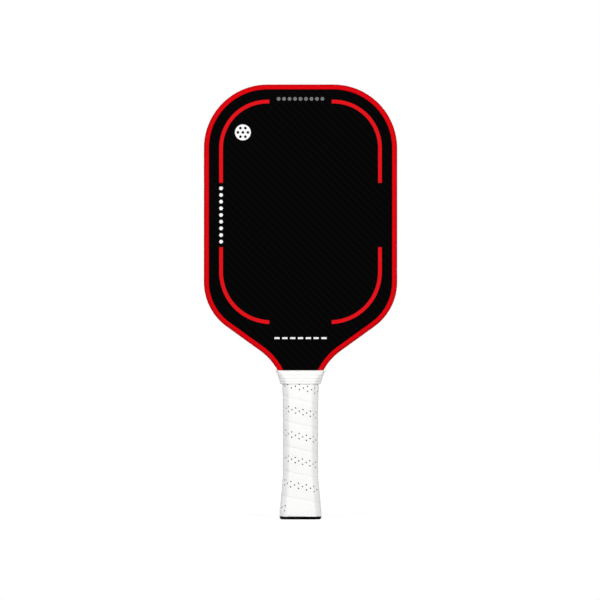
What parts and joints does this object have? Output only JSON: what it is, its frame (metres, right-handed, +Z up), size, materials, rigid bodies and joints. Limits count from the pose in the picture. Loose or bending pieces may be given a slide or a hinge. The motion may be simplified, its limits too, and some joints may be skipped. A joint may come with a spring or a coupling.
{
  "type": "pickleball paddle",
  "caption": "Elongated racket-sport paddle with a honeycomb core, black carbon faces, red edge guard and white wrapped handle.",
  "frame": {"origin": "centre of the butt cap's flat end, at the bottom of the handle", "axes": "+Z up the handle to the tip of the head, +X to the right of the front face, -Y out of the front face"},
  "size_m": [0.1866, 0.0356, 0.419],
  "materials": {
    "core_plastic": "matte",
    "bond_film": "satin",
    "carbon_skin": "matte",
    "guard_red": "satin",
    "guard_tape": "satin",
    "handle_foam": "matte",
    "cap_black": "satin",
    "staple_steel": "satin",
    "grip_white": "matte",
    "finishing_white": "satin",
    "collar_white": "satin",
    "ink_red": "satin",
    "ink_white": "satin",
    "ink_grey": "satin"
  },
  "bodies": {
    "root": {"honeycomb_core": "core_plastic", "front_adhesive_film": "bond_film", "rear_adhesive_film": "bond_film", "front_face_skin": "carbon_skin", "rear_face_skin": "carbon_skin", "edge_guard": "guard_red", "edge_guard_tape": "guard_tape", "front_handle_half": "handle_foam", "rear_handle_half": "handle_foam", "front_handle_bond": "bond_film", "rear_handle_bond": "bond_film", "butt_cap": "cap_black", "grip_staple": "staple_steel", "cushion_grip": "grip_white", "grip_finishing_tape": "finishing_white", "grip_collar": "collar_white", "front_border_print": "ink_red", "rear_border_print": "ink_red", "front_ball_print": "ink_white", "front_tip_marks": "ink_grey", "front_side_marks": "ink_white", "front_throat_marks": "ink_white"}
  },
  "joints": []
}
